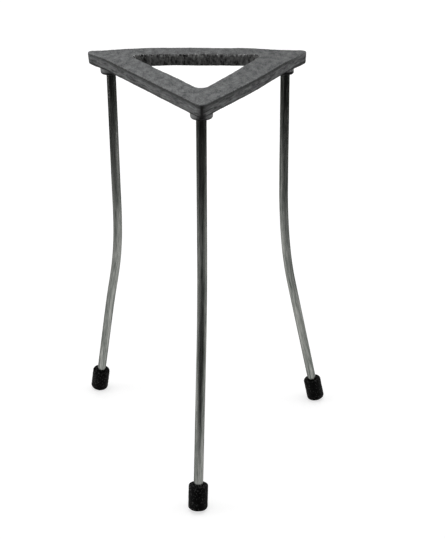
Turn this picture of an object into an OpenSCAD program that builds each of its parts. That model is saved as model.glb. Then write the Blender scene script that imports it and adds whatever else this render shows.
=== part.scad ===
// Triangular tripod stand for a laboratory bench: a cast frame on three bent rods with rubber feet.
// The origin is the middle of the top face, which carries a gauze or a dish over a burner.
// +Z is up, and the front corner points along -Y.

/* [Top frame] */
// Width of the triangle, over two of its rounded corners
side_w = 124; // [100:1:200]
// Width of each bar of the triangle
bar_w = 14.6; // [11:0.1:17]
// Thickness of the bars
bar_t = 6.7; // [4:0.1:10]
// Radius of the three outer corners
corner_r = 3.7; // [3:0.1:8]
// Radius of the three corners of the window
window_r = 4; // [2:0.1:8]
// How far the back right corner of the window lies inwards of its true place
window_skew = 3; // [0:0.1:5]
// Radius of the softened top and bottom edges
edge_r = 0.6; // [0.3:0.1:1.5]
// Slope of the side walls, which lets the casting leave its sand mould, in degrees
draft = 1.5; // [0.5:0.5:4]

/* [Bosses] */
// Height of each boss under the bars
boss_h = 5; // [3:0.1:10]
// Metal around the leg in each boss
boss_wall = 3; // [2:0.1:3.5]
// Distance from the tip of a corner to the axis of its boss
boss_inset = 13.6; // [12:0.1:16]
// Radius of the rounded lower rim of each boss
boss_rim_r = 1.2; // [0.4:0.1:1.8]
// Radius of the fillet where each boss grows out of the frame
boss_root_r = 1; // [0.3:0.1:1.2]
// Solid metal left over each blind socket
socket_skin = 3; // [1.5:0.1:6]

/* [Legs] */
// Height of the whole stand
height = 232; // [180:1:300]
// Diameter of the leg rod
rod_d = 5.3; // [4:0.1:6.5]
// Depth of the point where the stem and the splayed part would meet, under the top face
bend_drop = 113.5; // [80:0.5:140]
// Radius of the bend, at the middle of the rod
bend_r = 280; // [40:5:300]
// How much thinner the rod is drawn where it is bent
bend_thinning = 0.04; // [0.02:0.01:0.2]
// Angle by which the lower part of a leg leans outwards, in degrees
splay = 12.5; // [6:0.5:20]
// Turn of the front leg about its own stem, in degrees
front_turn = -8; // [-30:1:30]
// Turn of the left leg about its own stem, in degrees
left_turn = -15; // [-30:1:30]
// Turn of the right leg about its own stem, in degrees
right_turn = -28; // [-30:1:30]
// Bevel on the two ends of each rod
rod_bevel = 0.5; // [0.2:0.1:1]
// Clearance around the rod in its socket
socket_gap = 0.05; // [0.02:0.01:0.2]

/* [Feet] */
// Length of each rubber foot
foot_len = 14.5; // [8:0.5:20]
// Rubber around the rod
foot_wall = 2.8; // [1.5:0.1:4]
// Rubber under the end of the rod
foot_floor = 3; // [2:0.1:5]
// Radius of the rounded lower rim of each foot
foot_rim_r = 1.6; // [0.5:0.1:2]
// Radius of the rounded rim around the mouth of each foot
mouth_rim_r = 0.7; // [0.2:0.1:1.2]
// Bevel inside the mouth of each foot
mouth_bevel = 0.5; // [0.2:0.1:1]
// Clearance around the rod in its foot
foot_gap = 0.05; // [0.02:0.01:0.2]

/* [Hidden] */
$fn = 96;

CAST_GREY = [0.41, 0.42, 0.43];
STEEL_GREY = [0.5, 0.51, 0.51];
RUBBER_BLACK = [0.06, 0.06, 0.06];

// Directions of the three corners, seen from above
FRONT = 270;
LEFT = 150;
RIGHT = 30;
CORNERS = [FRONT, LEFT, RIGHT];

// How far a shape runs past the face it cuts, or into the body it grows from
past = 1;

// Flats to a turn on the frame's rounded corners, and steps in the rounding of an edge
CORNER_FLATS = 48;
EDGE_STEPS = 4;

// The angle through which a boss's fillet turns before it meets the frame
ROOT_TURN = 60;

// The triangle as it would be with sharp corners, and its window in the same way
sharp_side = side_w + 2 * (sqrt(3) - 1) * corner_r;
window_side = sharp_side - 2 * sqrt(3) * bar_w;
slope = tan(draft);

// The bosses stand on the lines from the middle to the corners
corner_reach = sharp_side / sqrt(3) - corner_r;
boss_reach = corner_reach - boss_inset;
boss_bottom = -bar_t - boss_h;
socket_r = rod_d / 2 + socket_gap;
boss_r = socket_r + boss_wall;

// The bend starts and ends this far along the rod from the corner point
bend_run = bend_r * tan(splay / 2);

// A foot leans with its leg and stands on its lower rim, so its middle is a little off the bench
foot_bore_r = rod_d / 2 + foot_gap;
foot_r = foot_bore_r + foot_wall;
foot_lift = (foot_r - foot_rim_r) * sin(splay) + foot_rim_r * (1 - cos(splay));
foot_end = (height - foot_lift - bend_drop) / cos(splay);
rod_end = foot_end - foot_floor;

// Points of a quarter circle about a centre, from one direction to the next
function quarter(centre, r, from) =
    [for (i = [0:EDGE_STEPS]) let (a = from - 90 * i / EDGE_STEPS) centre + r * [cos(a), sin(a)]];

// Puts the children on the centre of a corner arc of a triangle
module at_corner(corner, side, r) {
    rotate(corner)
        translate([side / sqrt(3) - 2 * r, 0, 0])
            children();
}

// The outer body: a plate with round corners, sloping walls and softened edges
module plate() {
    wall_foot = corner_r - bar_t * slope;
    upper_edge = quarter([corner_r - edge_r, -edge_r], edge_r, 90);
    lower_edge = quarter([wall_foot - edge_r, edge_r - bar_t], edge_r, 0);
    hull()
        for (a = CORNERS)
            at_corner(a, sharp_side, corner_r)
                rotate_extrude($fn = CORNER_FLATS)
                    polygon(concat([[0, 0]], upper_edge, lower_edge, [[0, -bar_t]]));
}

// One layer of the window, between two depths, with its corner radius at each.
// The pattern of the window was not quite true, and its back right corner lies a little inwards.
module window_layer(low, high, low_r, high_r) {
    hull()
        for (a = CORNERS)
            translate([a == RIGHT ? -window_skew : 0, 0, 0])
                at_corner(a, window_side, window_r)
                    translate([0, 0, low])
                        cylinder(h = high - low, r1 = low_r, r2 = high_r, $fn = CORNER_FLATS);
}

// Two layers that open the window out where it meets a face, in place of a rounded edge
module window_mouth(wall_r) {
    step = edge_r * (1 - cos(45));
    window_layer(-edge_r, -step, wall_r, wall_r + step);
    window_layer(-step, past, wall_r + step, wall_r + edge_r + past * tan(67.5));
}

// The window, which widens downwards with the draft
module window() {
    lower_r = window_r + bar_t * slope;
    window_layer(-bar_t - past, past, lower_r + past * slope, window_r - past * slope);
    window_mouth(window_r);
    translate([0, 0, -bar_t])
        mirror([0, 0, 1])
            window_mouth(lower_r);
}

// Half section of a boss: round lower rim, straight wall, and a fillet that runs into the frame
module boss_section() {
    root_z = -bar_t - boss_root_r * sin(ROOT_TURN);
    root_reach = boss_root_r * (1 - cos(ROOT_TURN));
    difference() {
        union() {
            translate([0, boss_bottom])
                square([boss_r - boss_rim_r, boss_h + past]);
            translate([0, boss_bottom + boss_rim_r])
                square([boss_r, boss_h - boss_rim_r + past]);
            translate([boss_r - boss_rim_r, boss_bottom + boss_rim_r])
                circle(boss_rim_r);
            translate([0, root_z])
                square([boss_r + root_reach, past - bar_t - root_z]);
        }
        translate([boss_r + boss_root_r, root_z])
            circle(boss_root_r);
    }
}

// Puts the children on the axis of each boss
module at_bosses() {
    for (a = CORNERS)
        rotate(a)
            translate([boss_reach, 0, 0])
                children();
}

module top_frame() {
    color(CAST_GREY)
        difference() {
            union() {
                difference() {
                    plate();
                    window();
                }
                at_bosses()
                    rotate_extrude()
                        boss_section();
            }
            at_bosses()
                translate([0, 0, boss_bottom - past])
                    cylinder(h = past - boss_bottom - socket_skin, r = socket_r);
        }
}

// Puts the children in the socket at a corner, turned about the stem
module in_socket(corner, turn) {
    rotate(corner)
        translate([boss_reach, 0, 0])
            rotate(turn)
                children();
}

// Puts the children on the splayed part of a leg, whose axis runs down from the corner point
module on_splayed_part() {
    translate([0, 0, -bend_drop])
        rotate([0, -splay, 0])
            children();
}

// A bevelled rod end, which tapers away from the origin along +Z
module rod_tip() {
    cylinder(h = rod_bevel, d1 = rod_d, d2 = rod_d - 2 * rod_bevel);
}

// A leg: one rod, screwed up to the roof of its socket and bent once.
// Its straight parts run a little way over the ends of the thinner bend.
module leg(corner, turn) {
    bend_top = bend_run - bend_drop;
    stem_top = -socket_skin - rod_bevel;
    color(STEEL_GREY)
        in_socket(corner, turn) {
            translate([0, 0, stem_top])
                rod_tip();
            translate([0, 0, bend_top - past])
                cylinder(h = stem_top - bend_top + past, d = rod_d);
            translate([bend_r, 0, bend_top])
                rotate([90, 0, 0])
                    rotate(180)
                        rotate_extrude(angle = splay)
                            translate([bend_r, 0])
                                circle(d = rod_d - bend_thinning);
            on_splayed_part() {
                translate([0, 0, rod_bevel - rod_end])
                    cylinder(h = rod_end - rod_bevel - bend_run + past, d = rod_d);
                translate([0, 0, rod_bevel - rod_end])
                    mirror([0, 0, 1])
                        rod_tip();
            }
        }
}

// Half section of a foot, from the middle of its underside: round rims and a blind bore
module foot_section() {
    difference() {
        union() {
            square([foot_r - foot_rim_r, foot_len]);
            translate([0, foot_rim_r])
                square([foot_r, foot_len - foot_rim_r - mouth_rim_r]);
            translate([0, foot_rim_r])
                square([foot_r - mouth_rim_r, foot_len - foot_rim_r]);
            translate([foot_r - foot_rim_r, foot_rim_r])
                circle(foot_rim_r);
            translate([foot_r - mouth_rim_r, foot_len - mouth_rim_r])
                circle(mouth_rim_r);
        }
        translate([0, foot_floor])
            square([foot_bore_r, foot_len]);
        translate([foot_bore_r, foot_len])
            rotate(45)
                square(mouth_bevel * sqrt(2), center = true);
    }
}

// A rubber foot, pushed up the end of its leg
module foot(corner, turn) {
    color(RUBBER_BLACK)
        in_socket(corner, turn)
            on_splayed_part()
                translate([0, 0, -foot_end])
                    rotate_extrude()
                        foot_section();
}

top_frame();
leg(FRONT, front_turn);  // leg_front
leg(LEFT, left_turn);  // leg_left
leg(RIGHT, right_turn);  // leg_right
foot(FRONT, front_turn);  // foot_front
foot(LEFT, left_turn);  // foot_left
foot(RIGHT, right_turn);  // foot_right
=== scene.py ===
import math

import bmesh
import bpy
from mathutils import Euler, Matrix, Vector


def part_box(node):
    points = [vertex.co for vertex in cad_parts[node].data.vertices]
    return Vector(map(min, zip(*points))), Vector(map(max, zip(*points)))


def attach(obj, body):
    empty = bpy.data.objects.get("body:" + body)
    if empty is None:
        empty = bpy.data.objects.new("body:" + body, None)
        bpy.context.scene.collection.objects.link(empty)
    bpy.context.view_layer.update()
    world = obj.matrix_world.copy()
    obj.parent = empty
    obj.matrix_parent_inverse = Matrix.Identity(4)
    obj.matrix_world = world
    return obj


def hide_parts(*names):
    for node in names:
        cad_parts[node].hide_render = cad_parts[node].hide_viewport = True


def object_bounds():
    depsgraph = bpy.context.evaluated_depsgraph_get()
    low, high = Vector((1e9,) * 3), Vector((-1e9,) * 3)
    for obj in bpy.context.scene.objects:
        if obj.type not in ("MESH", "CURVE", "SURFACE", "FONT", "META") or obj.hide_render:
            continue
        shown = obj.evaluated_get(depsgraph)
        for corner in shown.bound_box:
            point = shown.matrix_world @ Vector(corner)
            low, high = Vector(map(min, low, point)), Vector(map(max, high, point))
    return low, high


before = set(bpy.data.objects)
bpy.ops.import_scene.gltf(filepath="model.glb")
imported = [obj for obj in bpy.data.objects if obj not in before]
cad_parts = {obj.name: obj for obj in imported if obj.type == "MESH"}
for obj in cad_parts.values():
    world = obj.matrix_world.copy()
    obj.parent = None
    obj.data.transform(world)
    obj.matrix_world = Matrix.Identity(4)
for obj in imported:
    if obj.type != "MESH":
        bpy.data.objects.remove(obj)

cad_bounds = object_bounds()

# ----------------------------------------------------------------------------------------------
# Top frame: one sand casting in grey iron under a coat of dark grey paint. It is a flat triangle
# with a window, and under each corner stands a boss that is drilled for a leg. The grain of the
# sand shows through the paint, and no wall or edge is quite straight.
# ----------------------------------------------------------------------------------------------
frame_low, frame_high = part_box("top_frame")
corner_radius = 0.0037
front_radius = 0.003
bar_width = 0.0146
bar_thickness = 0.0067
edge_radius = 0.0004
wall_draft = 0.00017
window_radius = 0.004
window_skew = 0.003
boss_inset = 0.0136
boss_radius = 0.0057
boss_rim = 0.0012
boss_root = 0.0014
socket_radius = 0.0027
socket_roof = -0.003
round_flats = 48
corner_steps = 12
edge_steps = 3
rim_steps = 5
root_steps = 5
past = 0.002
skin_pitch = 0.00042

side = frame_high.x - frame_low.x + 2 * (math.sqrt(3) - 1) * corner_radius
middle_to_side = side / math.sqrt(3) / 2
middle_to_window = middle_to_side - bar_width
boss_reach = 2 * middle_to_side - corner_radius - boss_inset
corners = {"front": math.radians(270), "left": math.radians(150), "right": math.radians(30)}
boss_drift = {"front": 0, "left": 0, "right": -0.0007}
boss_short = {"front": 0.0006, "left": 0, "right": 0}


def open_new(name):
    """Names the primitive that was just added, settles its place in its mesh and opens it."""
    piece = bpy.context.object
    piece.name = piece.data.name = name
    bpy.ops.object.transform_apply(location=True, rotation=True, scale=True)
    bpy.ops.object.mode_set(mode="EDIT")
    return piece


def close(piece):
    """Turns all faces of an open piece outwards and closes it."""
    bpy.ops.mesh.select_all(action="SELECT")
    bpy.ops.mesh.normals_make_consistent(inside=False)
    bpy.ops.object.mode_set(mode="OBJECT")
    return piece


def select_edges(piece, wanted):
    """Selects the edges of an open piece whose two ends pass a test."""
    bpy.ops.mesh.select_mode(type="EDGE")
    bpy.ops.mesh.select_all(action="DESELECT")
    mesh = bmesh.from_edit_mesh(piece.data)
    for edge in mesh.edges:
        edge.select_set(wanted(edge.verts[0].co, edge.verts[1].co))
    bmesh.update_edit_mesh(piece.data)


def draw_out(distance, share=1):
    """Extrudes what is selected along Z, and widens or narrows its new end."""
    bpy.ops.mesh.extrude_region_move(TRANSFORM_OT_translate={"value": (0, 0, distance)})
    bpy.ops.transform.resize(value=(share, share, 1))


def select_only(piece):
    """Makes a piece the only selected one and the active one."""
    bpy.ops.object.select_all(action="DESELECT")
    piece.select_set(True)
    bpy.context.view_layer.objects.active = piece


def finish_with(piece, kind, **settings):
    """Adds a modifier to a piece, with its settings, and applies it."""
    modifier = piece.modifiers.new(kind.lower(), kind)
    for name, value in settings.items():
        setattr(modifier, name, value)
    select_only(piece)
    bpy.ops.object.modifier_apply(modifier=modifier.name)


def combine(piece, tool, operation):
    """Joins a tool to a piece or cuts it out of it, and takes the tool away."""
    finish_with(piece, "BOOLEAN", object=tool, operation=operation, solver="EXACT")
    bpy.data.objects.remove(tool)


def triangle_block(name, to_side, radius, front_radius, low, high, draft, skew=0):
    """A triangular block with round corners and sloping walls, as the pattern's was."""
    bpy.ops.object.select_all(action="DESELECT")
    bpy.ops.mesh.primitive_circle_add(
        vertices=3, radius=2 * to_side, fill_type="NGON",
        location=(0, 0, high), rotation=(0, 0, math.pi))
    block = open_new(name)
    draw_out(low - high, 1 - draft / to_side)
    select_edges(block, lambda a, b: min(a.x, a.y, b.x, b.y) > 0)
    bpy.ops.transform.translate(value=(-skew, 0, 0))
    for way, rounding in ((-1, front_radius), (1, radius)):
        select_edges(block, lambda a, b: abs(a.z - b.z) > (high - low) / 2 and a.y * way > 0)
        bpy.ops.mesh.bevel(
            offset=rounding * math.sqrt(3), segments=corner_steps, affect="EDGES")
    return block


def round_rims(block, height, radius, steps):
    """Rounds the rims of an open block that lie at one height."""
    select_edges(block, lambda a, b: max(abs(a.z - height), abs(b.z - height)) < radius / 4)
    bpy.ops.mesh.bevel(offset=radius, segments=steps, affect="EDGES")


def push(piece, place, move, reach):
    """Pushes one place of a piece a little way, and what lies around it along with it."""
    bpy.ops.object.mode_set(mode="EDIT")
    bpy.ops.mesh.select_mode(type="VERT")
    bpy.ops.mesh.select_all(action="DESELECT")
    mesh = bmesh.from_edit_mesh(piece.data)
    min(mesh.verts, key=lambda vertex: (vertex.co - Vector(place)).length).select_set(True)
    bmesh.update_edit_mesh(piece.data)
    bpy.ops.transform.translate(
        value=move, use_proportional_edit=True, proportional_edit_falloff="SMOOTH",
        proportional_size=reach)
    bpy.ops.object.mode_set(mode="OBJECT")


def drop_needless_vertices(piece):
    """Dissolves the vertices that a cut left in the middle of an edge."""
    select_only(piece)
    bpy.ops.object.mode_set(mode="EDIT")
    bpy.ops.mesh.select_mode(type="VERT")
    bpy.ops.mesh.select_all(action="DESELECT")
    mesh = bmesh.from_edit_mesh(piece.data)
    for vertex in mesh.verts:
        vertex.select_set(len(vertex.link_edges) == 2)
    bmesh.update_edit_mesh(piece.data)
    bpy.ops.mesh.dissolve_verts()
    bpy.ops.object.mode_set(mode="OBJECT")


def boss(centre, low):
    """A boss: rounded lower rim, straight wall, and a fillet that runs into the bars."""
    bpy.ops.object.select_all(action="DESELECT")
    bpy.ops.mesh.primitive_circle_add(
        vertices=round_flats, radius=boss_radius, fill_type="NGON", location=(*centre, low))
    block = open_new("boss")
    bpy.ops.mesh.select_all(action="SELECT")
    draw_out(-bar_thickness - boss_root - low)
    turns = [math.radians(90 * step / root_steps) for step in range(root_steps + 1)]
    for was, now in zip(turns, turns[1:]):
        width_was, width_now = (boss_radius + boss_root * (1 - math.cos(t)) for t in (was, now))
        draw_out(boss_root * (math.sin(now) - math.sin(was)), width_now / width_was)
    draw_out(bar_thickness / 2)
    round_rims(block, low, boss_rim, rim_steps)
    return close(block)


def drill(centre):
    """The drill that opens the blind socket of a leg."""
    bpy.ops.object.select_all(action="DESELECT")
    bpy.ops.mesh.primitive_cylinder_add(
        vertices=round_flats, radius=socket_radius, depth=socket_roof - frame_low.z + past,
        location=(*centre, (socket_roof + frame_low.z - past) / 2))
    return close(open_new("drill"))


def boss_centre(corner):
    """The place of a corner's boss, seen from above."""
    turn = corners[corner]
    return boss_reach * math.cos(turn) + boss_drift[corner], boss_reach * math.sin(turn)


casting = triangle_block(
    "casting", middle_to_side, corner_radius, front_radius, -bar_thickness, 0, wall_draft)
round_rims(casting, 0, edge_radius, edge_steps)
round_rims(casting, -bar_thickness, edge_radius, edge_steps)
close(casting)
window = close(triangle_block(
    "window", middle_to_window, window_radius, window_radius, -bar_thickness - past, past,
    -wall_draft, skew=window_skew))
combine(casting, window, "DIFFERENCE")
for corner in corners:
    combine(casting, boss(boss_centre(corner), frame_low.z + boss_short[corner]), "UNION")
finish_with(casting, "REMESH", mode="VOXEL", voxel_size=skin_pitch)
finish_with(casting, "SMOOTH", factor=0.5, iterations=2)

# The pattern was warped: its back tips drooped, its back bowed out, and its right bar and the front
# corner of its window wandered. Each row is a place, how far it was pushed, and how far that reached.
left_tip, right_tip = (
    (way * (frame_high.x - corner_radius), frame_high.y - corner_radius, 0) for way in (-1, 1))
back = (-0.012, frame_high.y, 0)
right_bar = (0.025, -0.028, 0)
window_front = (0, window_radius - 2 * middle_to_window, 0)
for place, move, reach in (
        (left_tip, (-0.0005, -0.0007, -0.0009), 0.022),
        (right_tip, (-0.0011, -0.001, -0.0012), 0.036),
        (back, (0, 0.001, 0.0003), 0.042),
        (right_bar, (0.001, -0.0006, 0), 0.05),
        (window_front, (0, -0.001, 0), 0.023)):
    push(casting, place, move, reach)
for name, size, height in (("swell", 0.014, 0.0004), ("sand", 0.0014, 0.0002)):
    mould = bpy.data.textures.new(name, "CLOUDS")
    mould.noise_scale = size
    finish_with(casting, "DISPLACE", texture=mould, texture_coords="LOCAL", strength=height)
for corner in corners:
    combine(casting, drill(boss_centre(corner)), "DIFFERENCE")
drop_needless_vertices(casting)
bpy.ops.object.shade_smooth()


def fill(tree, node, inputs):
    """Gives a node's inputs their plain values, or links them to the outputs they come from."""
    for name, value in inputs.items():
        if isinstance(value, bpy.types.NodeSocket):
            tree.links.new(value, node.inputs[name])
        else:
            node.inputs[name].default_value = value


def add_node(tree, kind, inputs, **settings):
    """Adds a node to a tree, with its settings and its inputs."""
    node = tree.nodes.new(kind)
    for name, value in settings.items():
        setattr(node, name, value)
    fill(tree, node, inputs)
    return node


def sum_of(tree, first, second):
    """The sum of two values."""
    return add_node(tree, "ShaderNodeMath", {0: first, 1: second}, operation="ADD").outputs[0]


def blend_of(tree, mask, first, second):
    """The colour that goes from the first to the second as the mask goes from 0 to 1."""
    return add_node(
        tree, "ShaderNodeMix", {0: mask, 6: first, 7: second}, data_type="RGBA").outputs[2]


def between(tree, value, low, high, at_low=0, at_high=1):
    """A value that goes from one level to another while its source goes from low to high."""
    return add_node(tree, "ShaderNodeMapRange", {
        "Value": value, "From Min": low, "From Max": high,
        "To Min": at_low, "To Max": at_high}).outputs["Result"]


def start_group(name, inputs, outputs):
    """Starts a node group with named sockets, and returns it with its two end nodes."""
    group = bpy.data.node_groups.new(name, "ShaderNodeTree")
    for direction, sockets in (("INPUT", inputs), ("OUTPUT", outputs)):
        for socket, kind in sockets.items():
            group.interface.new_socket(socket, in_out=direction, socket_type=f"NodeSocket{kind}")
    return group, group.nodes.new("NodeGroupInput").outputs, group.nodes.new("NodeGroupOutput")


def start_material(name):
    """Starts a material, and returns it with its nodes and its shader."""
    material = bpy.data.materials.new(name)
    material.use_nodes = True
    return material, material.node_tree, material.node_tree.nodes["Principled BSDF"]


# Every coat and skin on the stand is uneven in two sizes at once: broad patches and fine grains.
uneven_skin, given, result = start_group(
    "uneven_skin",
    {"Place": "Vector", "Patches": "Float", "Grains": "Float", "Dark": "Color", "Light": "Color"},
    {"Color": "Color", "Patches": "Float", "Grains": "Float"})
patches = add_node(uneven_skin, "ShaderNodeTexNoise", {
    "Vector": given["Place"], "Scale": given["Patches"], "Detail": 3, "Roughness": 0.6})
grains = add_node(uneven_skin, "ShaderNodeTexNoise", {
    "Vector": given["Place"], "Scale": given["Grains"], "Detail": 2, "Roughness": 0.6})
tone = between(
    uneven_skin, sum_of(uneven_skin, patches.outputs["Fac"], grains.outputs["Fac"]), 0.75, 1.25)
fill(uneven_skin, result, {
    "Color": blend_of(uneven_skin, tone, given["Dark"], given["Light"]),
    "Patches": patches.outputs["Fac"], "Grains": grains.outputs["Fac"]})

# Handling rubs the crests and edges first, and takes the coat off them in small specks. The light
# specks are also a painted highlight, where the crests catch the light.
worn_and_highlit_crests, given, result = start_group("worn_and_highlit_crests", {"Grains": "Float"}, {"Mask": "Float"})
shape = add_node(worn_and_highlit_crests, "ShaderNodeNewGeometry", {})
fill(worn_and_highlit_crests, result, {
    "Mask": between(
        worn_and_highlit_crests, shape.outputs["Pointiness"], 0.52, 0.6, 0,
        between(worn_and_highlit_crests, given["Grains"], 0.4, 0.65))})

# The paint ran along the outer walls. The bosses get a lighter grey, a painted light that lifts
# them out of the shade under the bars. The walls carry painted shade under the sharp edge at the top,
# on the lower rims and down the corners. The marks of grinding show on the top, which is lightest at
# the front left and carries a painted shade that darkens it towards the back right.
top_dark = (0.071, 0.074, 0.075, 1)
top_light = (0.21, 0.215, 0.216, 1)
top_painted_shade = (0.04, 0.041, 0.041, 1)
wall_dark = (0.045, 0.046, 0.046, 1)
wall_light = (0.195, 0.199, 0.2, 1)
boss_painted_light = (0.32, 0.324, 0.325, 1)
worn_and_highlit_paint = (0.36, 0.362, 0.362, 1)
paint, tree, shader = start_material("dark_grey_paint")
place = add_node(tree, "ShaderNodeTexCoord", {})
ground = add_node(tree, "ShaderNodeMapping", {
    "Vector": place.outputs["Object"], "Scale": (1, 0.5, 1)})
coat = add_node(tree, "ShaderNodeGroup", {
    "Place": ground.outputs["Vector"], "Patches": 300, "Grains": 1300,
    "Dark": top_dark, "Light": top_light}, node_tree=uneven_skin)
along_the_wall = add_node(tree, "ShaderNodeMapping", {
    "Vector": place.outputs["Object"], "Scale": (0.15, 0.15, 1)})
runs = add_node(tree, "ShaderNodeGroup", {
    "Place": along_the_wall.outputs["Vector"], "Patches": 600, "Grains": 1500,
    "Dark": wall_dark, "Light": wall_light}, node_tree=uneven_skin)
surface = add_node(tree, "ShaderNodeNewGeometry", {})
slope = add_node(tree, "ShaderNodeSeparateXYZ", {"Vector": surface.outputs["Normal"]})
on_top = between(tree, slope.outputs["Z"], 0.4, 0.8)
depth = add_node(tree, "ShaderNodeSeparateXYZ", {"Vector": place.outputs["Object"]})
away = sum_of(tree, depth.outputs["X"], depth.outputs["Y"])
# Painted shade: the top darkens towards the back right.
top = blend_of(
    tree, between(tree, away, -0.06, 0.08, 0, 0.35), coat.outputs["Color"], top_painted_shade)
# Painted light: the bosses are lifted out of the shade under the bars.
wall = blend_of(
    tree, between(tree, depth.outputs["Z"], -0.0076, -0.0084, 0, 0.6), runs.outputs["Color"],
    boss_painted_light)
down_the_front = sum_of(
    tree, slope.outputs["Y"], between(tree, depth.outputs["Y"], -0.05, -0.03, 0, 0.2))
over_the_rim = add_node(tree, "ShaderNodeMath", {
    0: sum_of(tree, depth.outputs["Z"], bar_thickness)}, operation="ABSOLUTE")

# The walls carry painted shade under the top edge, on the lower rims of the bars and the bosses,
# underneath, and down the front corner and the two back ones. Each row is what a place is told by,
# where it is darkest, where it has faded out, and its grey.
for source, darkest, faded, grey in (
        (depth.outputs["Z"], -0.0008, -0.0026, 0.04),
        (over_the_rim.outputs[0], 0.0007, 0.0012, 0.04),
        (depth.outputs["Z"], -0.0108, -0.01, 0.01),
        (slope.outputs["Z"], -0.6, -0.1, 0.02),
        (down_the_front, -0.99, -0.9, 0.04),
        (slope.outputs["X"], -0.99, -0.92, 0.04),
        (slope.outputs["X"], 0.99, 0.92, 0.04)):
    wall = blend_of(tree, between(tree, source, darkest, faded), (grey, grey, grey, 1), wall)
# Partly wear and partly painted highlight: light specks on the crests that face upwards.
rubbed_and_highlit = add_node(
    tree, "ShaderNodeGroup", {"Grains": coat.outputs["Grains"]}, node_tree=worn_and_highlit_crests)
upwards = between(tree, slope.outputs["Z"], 0, 0.3, 0, rubbed_and_highlit.outputs["Mask"])
relief = add_node(tree, "ShaderNodeBump", {
    "Height": coat.outputs["Grains"], "Strength": 0.9, "Distance": 0.0003})
fill(tree, shader, {
    "Base Color": blend_of(tree, upwards, blend_of(tree, on_top, wall, top), worn_and_highlit_paint),
    "Roughness": between(tree, coat.outputs["Patches"], 0.3, 0.7, 0.8, 0.6),
    "Specular IOR Level": 0.12,
    "Normal": relief.outputs["Normal"]})
casting.data.materials.append(paint)

# The walls of the window keep the coarse skin of the sand core and take the paint unevenly. Along
# their upper edge lie light specks, a painted highlight where the rough edge catches the light.
core_dark = (0.025, 0.025, 0.025, 1)
core_light = (0.34, 0.342, 0.338, 1)
painted_glint_grey = (0.6, 0.602, 0.6, 1)
coarse_paint, tree, shader = start_material("coarse_window_paint")
place = add_node(tree, "ShaderNodeTexCoord", {})
down_the_wall = add_node(tree, "ShaderNodeMapping", {
    "Vector": place.outputs["Object"], "Scale": (1, 1, 0.5)})
coat = add_node(tree, "ShaderNodeGroup", {
    "Place": down_the_wall.outputs["Vector"], "Patches": 400, "Grains": 900,
    "Dark": core_dark, "Light": core_light}, node_tree=uneven_skin)
depth = add_node(tree, "ShaderNodeSeparateXYZ", {"Vector": place.outputs["Object"]})
# Painted highlight: light specks along the upper edge of the walls.
glint_specks = between(tree, coat.outputs["Grains"], 0.52, 0.66)
painted_glints = between(tree, depth.outputs["Z"], -0.0018, -0.0008, 0, glint_specks)
relief = add_node(tree, "ShaderNodeBump", {
    "Height": coat.outputs["Grains"], "Strength": 1, "Distance": 0.0006})
fill(tree, shader, {
    "Base Color": blend_of(tree, painted_glints, coat.outputs["Color"], painted_glint_grey),
    "Roughness": between(tree, coat.outputs["Patches"], 0.3, 0.7, 0.85, 0.6),
    "Specular IOR Level": 0.2,
    "Normal": relief.outputs["Normal"]})
casting.data.materials.append(coarse_paint)
steepest_top = 0.6
to_corners = [Vector((math.cos(turn), math.sin(turn), 0)) for turn in corners.values()]
for face in casting.data.polygons:
    in_window = min(face.center.dot(way) for way in to_corners) > -middle_to_window - past / 2
    face.material_index = int(in_window and abs(face.normal.z) < steepest_top)

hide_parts("top_frame")
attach(casting, "root")

# ----------------------------------------------------------------------------------------------
# Legs: three equal lengths of drawn steel rod under a dull plating. Each was bent once over
# a wide former and then screwed home in its boss. They came to rest at different turns, so they
# splay in slightly different directions.
# ----------------------------------------------------------------------------------------------
rod_radius = 0.00265
rod_bevel = 0.0005
bend_drop = 0.1135
bend_radius = 0.28
splay = math.radians(12.5)
leg_turns = {"front": math.radians(-8), "left": math.radians(-15), "right": math.radians(-28)}
straight_steps = 12
bend_steps = 24
foot_radius = 0.0055
foot_rim = 0.0016
foot_floor = 0.003
foot_length = 0.0145

foot_lift = (foot_radius - foot_rim) * math.sin(splay) + foot_rim * (1 - math.cos(splay))
foot_end = (-cad_bounds[0].z - foot_lift - bend_drop) / math.cos(splay)
bend_run = bend_radius * math.tan(splay / 2)
bend_top = bend_run - bend_drop
down_the_splay = Vector((math.sin(splay), 0, -math.cos(splay)))


def draw_down(direction, length, steps=1, share=1):
    """Extrudes the open end of the rod along a direction, and widens or narrows its new end."""
    step = direction * length / steps
    for count in range(steps):
        bpy.ops.mesh.extrude_region_move(TRANSFORM_OT_translate={"value": step})
    bpy.ops.transform.resize(value=(share, share, share))


def straightened(place):
    """Where a point of the rod lay before the rod was bent."""
    turned = min(max(math.atan2(bend_top - place.z, bend_radius - place.x), 0), splay)
    centre = Vector((bend_radius, 0, bend_top))
    straight = Matrix.Rotation(turned, 3, "Y") @ (place - centre) + centre
    return straight - Vector((0, 0, bend_radius * turned))


def placed_copy(piece, name, placing):
    """A copy of a piece with its own mesh, put in its place."""
    copied = bpy.data.objects.new(name, piece.data.copy())
    bpy.context.collection.objects.link(copied)
    copied.data.name = name
    copied.matrix_world = placing
    select_only(copied)
    bpy.ops.object.transform_apply(location=True, rotation=True, scale=True)
    return copied


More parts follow.
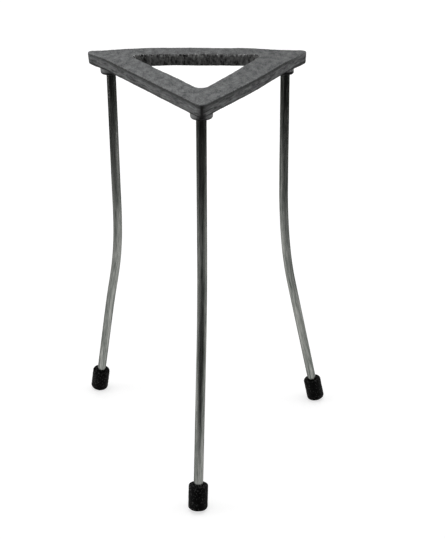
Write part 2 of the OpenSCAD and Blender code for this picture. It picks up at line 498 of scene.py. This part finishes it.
down = Vector((0, 0, -1))
end_share = (rod_radius - rod_bevel) / rod_radius
bpy.ops.object.select_all(action="DESELECT")
bpy.ops.mesh.primitive_circle_add(
    vertices=round_flats, radius=rod_radius * end_share, fill_type="NGON",
    location=(0, 0, socket_roof))
rod = open_new("rod")
bpy.ops.mesh.select_all(action="SELECT")
draw_down(down, rod_bevel, share=1 / end_share)
draw_down(down, socket_roof - rod_bevel - bend_top, straight_steps)
bpy.ops.mesh.spin(
    steps=bend_steps, angle=splay, center=(bend_radius, 0, bend_top), axis=(0, 1, 0))
draw_down(down_the_splay, foot_end - foot_floor - bend_run - rod_bevel, straight_steps)
draw_down(down_the_splay, rod_bevel, share=end_share)
close(rod)
select_only(rod)
bpy.ops.object.shade_smooth_by_angle(angle=math.radians(30))
along_the_rod = rod.data.attributes.new("along_the_rod", "FLOAT_VECTOR", "POINT")
for vertex, straight in zip(rod.data.vertices, along_the_rod.data):
    straight.vector = straightened(vertex.co)

# The plating is dull, with fine marks that run along the rod from its drawing.
steel_dark = (0.09, 0.102, 0.092, 1)
steel_light = (0.4, 0.404, 0.382, 1)
steel, tree, shader = start_material("dull_plated_steel")
place = add_node(tree, "ShaderNodeAttribute", {}, attribute_name="along_the_rod")
drawn = add_node(tree, "ShaderNodeMapping", {
    "Vector": place.outputs["Vector"], "Scale": (1, 1, 0.04)})
coat = add_node(tree, "ShaderNodeGroup", {
    "Place": drawn.outputs["Vector"], "Patches": 700, "Grains": 3500,
    "Dark": steel_dark, "Light": steel_light}, node_tree=uneven_skin)
relief = add_node(tree, "ShaderNodeBump", {
    "Height": coat.outputs["Grains"], "Strength": 0.5, "Distance": 0.00005})
fill(tree, shader, {
    "Base Color": coat.outputs["Color"],
    "Metallic": 1,
    "Specular Tint": (0.3, 0.3, 0.3, 1),
    "Roughness": between(tree, coat.outputs["Patches"], 0.3, 0.7, 0.18, 0.28),
    "Normal": relief.outputs["Normal"]})
rod.data.materials.append(steel)

in_socket = {
    corner: Matrix.Rotation(corners[corner], 4, "Z") @ Matrix.Translation((boss_reach, 0, 0))
    @ Matrix.Rotation(leg_turns[corner], 4, "Z") for corner in corners}

# The back rods are not quite straight. Each row is a height, how far the rod lies to the side
# there, and how far along the rod that reaches.
crooks = {
    "front": [],
    "left": [(-0.125, 0.0008, 0.045)],
    "right": [(socket_roof, boss_drift["right"], 0.06), (-0.1, 0.0007, 0.05)]}
for corner in corners:
    leg = placed_copy(rod, f"rod_{corner}", in_socket[corner])
    for height, way, reach in crooks[corner]:
        push(leg, (*boss_centre(corner), height), (way, 0, 0), reach)
    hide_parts(f"leg_{corner}")
    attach(leg, "root")
bpy.data.objects.remove(rod)

# ----------------------------------------------------------------------------------------------
# Feet: three equal caps moulded in black rubber, each pushed up the end of its rod. They keep the
# stand from slipping on the bench and from scratching it.
# ----------------------------------------------------------------------------------------------
mouth_rim = 0.0007
mouth_bevel = 0.0005
bore_radius = 0.0027
foot_flats = 64
foot_rim_steps = 6
mouth_rim_steps = 4
rubber_pitch = 0.0003


def select_top(piece):
    """Selects the highest flat face of an open piece."""
    flat = 0.99
    bpy.ops.mesh.select_mode(type="FACE")
    bpy.ops.mesh.select_all(action="DESELECT")
    mesh = bmesh.from_edit_mesh(piece.data)
    faces_up = [face for face in mesh.faces if face.normal.z > flat]
    max(faces_up, key=lambda face: face.calc_center_median().z).select_set(True)
    bmesh.update_edit_mesh(piece.data)


bpy.ops.object.select_all(action="DESELECT")
bpy.ops.mesh.primitive_cylinder_add(
    vertices=foot_flats, radius=foot_radius, depth=foot_length, location=(0, 0, foot_length / 2))
cap = open_new("cap")
round_rims(cap, 0, foot_rim, foot_rim_steps)
round_rims(cap, foot_length, mouth_rim, mouth_rim_steps)
select_top(cap)
bpy.ops.mesh.inset(thickness=foot_radius - mouth_rim - bore_radius - mouth_bevel)
draw_out(-mouth_bevel, bore_radius / (bore_radius + mouth_bevel))
draw_out(foot_floor + mouth_bevel - foot_length)
close(cap)
finish_with(cap, "REMESH", mode="VOXEL", voxel_size=rubber_pitch)
finish_with(cap, "SMOOTH", factor=0.5, iterations=2)
flow = bpy.data.textures.new("flow", "CLOUDS")
flow.noise_scale = 0.002
finish_with(cap, "DISPLACE", texture=flow, texture_coords="LOCAL", strength=0.0002)
select_only(cap)
bpy.ops.object.shade_smooth()

# The rubber is matt black. Light specks in its pores are partly dust and partly a painted sheen,
# and its rims are a little grey, partly rubbed and partly a painted highlight.
rubber_dark = (0, 0, 0, 1)
rubber_light = (0.003, 0.003, 0.003, 1)
dust_and_sheen_grey = (0.045, 0.045, 0.044, 1)
worn_and_highlit_rubber = (0.025, 0.025, 0.025, 1)
rubber, tree, shader = start_material("black_rubber")
place = add_node(tree, "ShaderNodeTexCoord", {})
skin = add_node(tree, "ShaderNodeGroup", {
    "Place": place.outputs["Object"], "Patches": 500, "Grains": 1000,
    "Dark": rubber_dark, "Light": rubber_light}, node_tree=uneven_skin)
# Partly dust and partly painted sheen: light specks in the pores.
dust_and_sheen = blend_of(
    tree, between(tree, skin.outputs["Grains"], 0.57, 0.64), skin.outputs["Color"], dust_and_sheen_grey)
# Partly wear and partly painted highlight: the rims are a little grey.
rubbed_and_highlit = add_node(
    tree, "ShaderNodeGroup", {"Grains": skin.outputs["Grains"]}, node_tree=worn_and_highlit_crests)
relief = add_node(tree, "ShaderNodeBump", {
    "Height": skin.outputs["Grains"], "Strength": 0.7, "Distance": 0.0002})
fill(tree, shader, {
    "Base Color": blend_of(tree, rubbed_and_highlit.outputs["Mask"], dust_and_sheen, worn_and_highlit_rubber),
    "Roughness": between(tree, skin.outputs["Patches"], 0.3, 0.7, 0.5, 0.75),
    "Specular IOR Level": 0.04,
    "Normal": relief.outputs["Normal"]})
cap.data.materials.append(rubber)

on_rod_end = (
    Matrix.Translation((0, 0, -bend_drop)) @ Matrix.Rotation(-splay, 4, "Y")
    @ Matrix.Translation((0, 0, -foot_end)))
for corner in corners:
    foot = placed_copy(cap, f"cap_{corner}", in_socket[corner] @ on_rod_end)
    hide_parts(f"foot_{corner}")
    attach(foot, "root")
bpy.data.objects.remove(cap)

# ----------------------------------------------------------------------------------------------
# Bench and daylight: a white bench top under soft light from the roof, the back and the two
# sides. Two dark cards, one on the bench and one hung as a cloth behind the camera, are painted
# shade: they are seen only in reflections, and give the steel its dark side.
# ----------------------------------------------------------------------------------------------
bench_size = 8
bench_level = cad_bounds[0].z
bench_glow = (0.62, 0.62, 0.62, 1)
shaded_bench = (0.5, 0.5, 0.5, 1)
card_lift = 0.0002
cloth_distance = 0.9


def seen_directly(tree):
    """One for what is seen by the camera, in a reflection or through glass, and else nought."""
    ray = add_node(tree, "ShaderNodeLightPath", {})
    mask = ray.outputs["Is Camera Ray"]
    for kind in ("Is Glossy Ray", "Is Transmission Ray"):
        mask = add_node(
            tree, "ShaderNodeMath", {0: mask, 1: ray.outputs[kind]}, operation="MAXIMUM").outputs[0]
    return mask


def grey_pool(tree, scale, location, around, middle):
    """A grey that has one level around the middle of a card and another in it."""
    place = add_node(tree, "ShaderNodeTexCoord", {})
    spread = add_node(tree, "ShaderNodeMapping", {
        "Vector": place.outputs["Object"], "Scale": scale, "Location": location})
    pool = add_node(tree, "ShaderNodeTexGradient", {
        "Vector": spread.outputs["Vector"]}, gradient_type="SPHERICAL")
    fade = add_node(tree, "ShaderNodeValToRGB", {"Fac": pool.outputs["Fac"]})
    fade.color_ramp.interpolation = "EASE"
    ends = (0.05, 0.95)
    for stop, position, grey in zip(fade.color_ramp.elements, ends, (around, middle)):
        stop.position = position
        stop.color = (grey, grey, grey, 1)
    return fade.outputs["Color"]


def lay_card(name, size, location, rotation=(0, 0, 0)):
    """A large flat card on the stage."""
    bpy.ops.object.select_all(action="DESELECT")
    bpy.ops.mesh.primitive_plane_add(size=size, location=location, rotation=rotation)
    card = bpy.context.object
    card.name = name
    return card


def show_only_in_reflections(card):
    """Hides a card from all but reflections."""
    for kind in ("camera", "diffuse", "transmission", "volume_scatter", "shadow"):
        setattr(card, f"visible_{kind}", False)


# The bench glows for what sees it directly, so it looks white. For all else it is a dark grey with a
# painted pool of light around the stand, and throws back little light, and least far from the stand.
bench = lay_card("bench", bench_size, (0, 0, bench_level))
bench_white, tree, shader = start_material("bench_white")
seen = seen_directly(tree)
fill(tree, shader, {
    "Base Color": blend_of(
        tree, seen, grey_pool(tree, (1.9, 2.6, 1), (0, 0.05, 0), 0.01, 0.15), shaded_bench),
    "Roughness": 1,
    "Specular IOR Level": 0,
    "Emission Color": blend_of(tree, seen, (0, 0, 0, 1), bench_glow),
    "Emission Strength": 1})
bench.data.materials.append(bench_white)

# Both cards are painted shade. The card on the bench is dark around the stand, and the cloth is dark
# in its middle. Each row is a card, the scale and the place of its pool, and how clear it is around
# the pool and in it.
bench_shade_card = lay_card("bench_shade_card", bench_size, (0, 0, bench_level + card_lift))
camera_side_shade_card = lay_card(
    "camera_side_shade_card", bench_size, (0, -cloth_distance, 0), rotation=(math.radians(90), 0, 0))
for card, scale, location, around, middle in (
        (bench_shade_card, (1.33, 1.55, 1), (0, -0.085, 0), 0.01, 1),
        (camera_side_shade_card, (0.45, 0.6, 1), (0, 0.1, 0), 1, 0.01)):
    show_only_in_reflections(card)
    shade, tree, shader = start_material(card.name)
    tree.nodes.remove(shader)
    veil = add_node(tree, "ShaderNodeBsdfTransparent", {
        "Color": grey_pool(tree, scale, location, around, middle)})
    fill(tree, tree.nodes["Material Output"], {"Surface": veil.outputs["BSDF"]})
    card.data.materials.append(shade)

# The light comes from above, the left, the right and the back. Each row is an axis, which way
# along it the light lies, how strong it is, and how narrowly it falls.
world = bpy.data.worlds.new("daylight")
bpy.context.scene.world = world
world.use_nodes = True
tree = world.node_tree
toward = add_node(tree, "ShaderNodeTexCoord", {})
heading = add_node(tree, "ShaderNodeSeparateXYZ", {"Vector": toward.outputs["Generated"]})
seen = seen_directly(tree)
glow = 0
for axis, sign, strength, sharpness in (
        ("Z", 1, 2.4, 6), ("X", -1, 13, 20), ("X", 1, 9.6, 20), ("Y", 1, 0.55, 1)):
    ahead = add_node(
        tree, "ShaderNodeMath", {0: heading.outputs[axis], 1: sign}, operation="MULTIPLY")
    facing = add_node(tree, "ShaderNodeMath", {0: ahead.outputs[0], 1: 0}, operation="MAXIMUM")
    beam = add_node(
        tree, "ShaderNodeMath", {0: facing.outputs[0], 1: sharpness}, operation="POWER")
    light = add_node(
        tree, "ShaderNodeMath", {0: beam.outputs[0], 1: strength}, operation="MULTIPLY")
    glow = sum_of(tree, glow, light.outputs[0])
daylight = add_node(tree, "ShaderNodeMath", {0: glow, 1: seen}, operation="MAXIMUM")
fill(tree, tree.nodes["Background"], {"Color": (1, 1, 1, 1), "Strength": daylight.outputs[0]})

# ----------------------------------------------------------------------------------------------
# Camera: a long lens half a metre in front of the front leg and a little above the frame. It looks
# down far enough to see through the window, and is turned and rolled a little.
# ----------------------------------------------------------------------------------------------
pan = math.radians(2.01)
tilt = math.radians(-25.88)
roll = math.radians(0.18)
camera_place = (-0.00684, -0.55747, 0.14822)
focal_length = 70.23
film_width = 36
camera_data = bpy.data.cameras.new("camera")
camera_data.lens = focal_length
camera_data.sensor_width = film_width
camera = bpy.data.objects.new("camera", camera_data)
bpy.context.collection.objects.link(camera)
aim = Euler((math.pi / 2 + tilt, 0, -pan)).to_matrix() @ Matrix.Rotation(roll, 3, "Z")
camera.matrix_world = Matrix.Translation(camera_place) @ aim.to_4x4()
bpy.context.scene.camera = camera
bpy.context.scene.view_settings.view_transform = "Standard"
